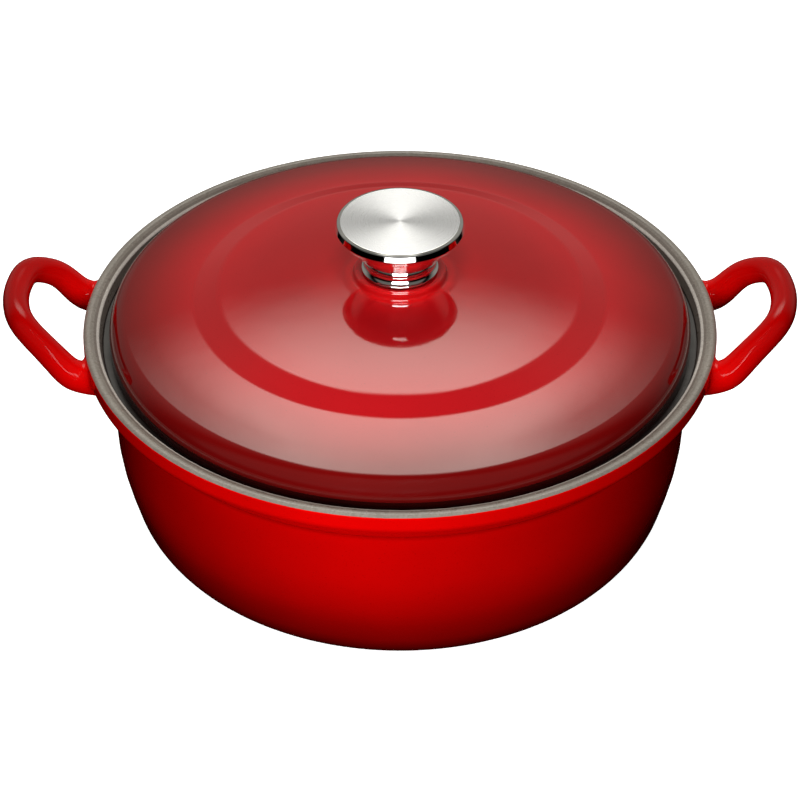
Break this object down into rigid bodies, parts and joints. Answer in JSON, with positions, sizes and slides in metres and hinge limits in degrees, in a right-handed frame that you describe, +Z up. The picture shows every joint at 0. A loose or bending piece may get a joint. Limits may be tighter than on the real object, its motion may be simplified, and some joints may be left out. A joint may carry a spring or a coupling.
{
  "type": "cast iron dutch oven",
  "caption": "Shallow round enamelled cast iron dutch oven with an inset domed lid that lifts off, loop side handles and a stainless steel knob on a conical neck.",
  "frame": {"origin": "centre of the base, on the surface the pot stands on", "axes": "+Z up along the pot's axis, X through the two handles, Y across the pot towards the back"},
  "size_m": [0.3496, 0.28, 0.1537],
  "materials": {
    "red_enamel": "glossy red enamel outside, satin dark grey enamel inside and on the rim",
    "lid_enamel": "glossy red enamel on top, satin dark grey enamel underneath",
    "seal": "matt black heat-proof washer",
    "polished_steel": "mirror polished stainless steel",
    "brushed_steel": "brushed stainless steel with a polished edge",
    "screw_steel": "satin stainless steel"
  },
  "bodies": {
    "pot": {"pot_body": "red_enamel", "right_handle": "red_enamel", "left_handle": "red_enamel"},
    "lid": {"lid": "lid_enamel"},
    "knob": {"knob_gasket": "seal", "knob_neck": "polished_steel", "knob_cap": "brushed_steel", "knob_insert": "screw_steel", "flat_washer": "screw_steel", "spring_washer": "screw_steel", "knob_screw": "screw_steel"}
  },
  "joints": [
    {"name": "lid_lift", "type": "slide", "parent": "pot", "child": "lid", "axis": [0, 0, 1], "range_m": [0, 0.14]},
    {"name": "knob_turn", "type": "hinge", "parent": "lid", "child": "knob", "pos_m": [0, 0, 0.127], "axis": [0, 0, 1], "continuous": true}
  ]
}
